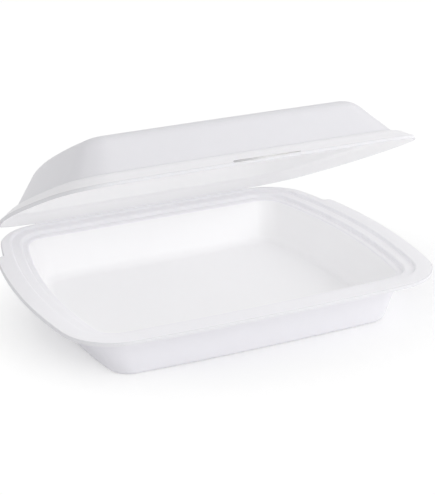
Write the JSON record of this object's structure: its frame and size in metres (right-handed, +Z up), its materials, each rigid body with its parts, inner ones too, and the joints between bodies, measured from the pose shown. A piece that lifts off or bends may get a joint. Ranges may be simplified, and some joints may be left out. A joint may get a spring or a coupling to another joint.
{
  "type": "hinged food box",
  "caption": "White foam takeaway food box with a stepped rim and a domed lid on a back crease, one compartment, lid partly open",
  "frame": {"origin": "middle of the flat face under the tray, at the height of what it stands on", "axes": "+X along the box, +Y towards the crease at the back, +Z up"},
  "size_m": [0.25, 0.1928, 0.1295],
  "materials": {
    "tray_foam": "satin",
    "lid_foam": "satin"
  },
  "bodies": {
    "tray": {"tray": "tray_foam"},
    "lid": {"lid": "lid_foam"}
  },
  "joints": [
    {"name": "lid_hinge", "type": "hinge", "parent": "tray", "child": "lid", "pos_m": [0, 0.097, 0.03265], "axis": [-1, 0, 0], "range_deg": [-26.4, 152]}
  ]
}
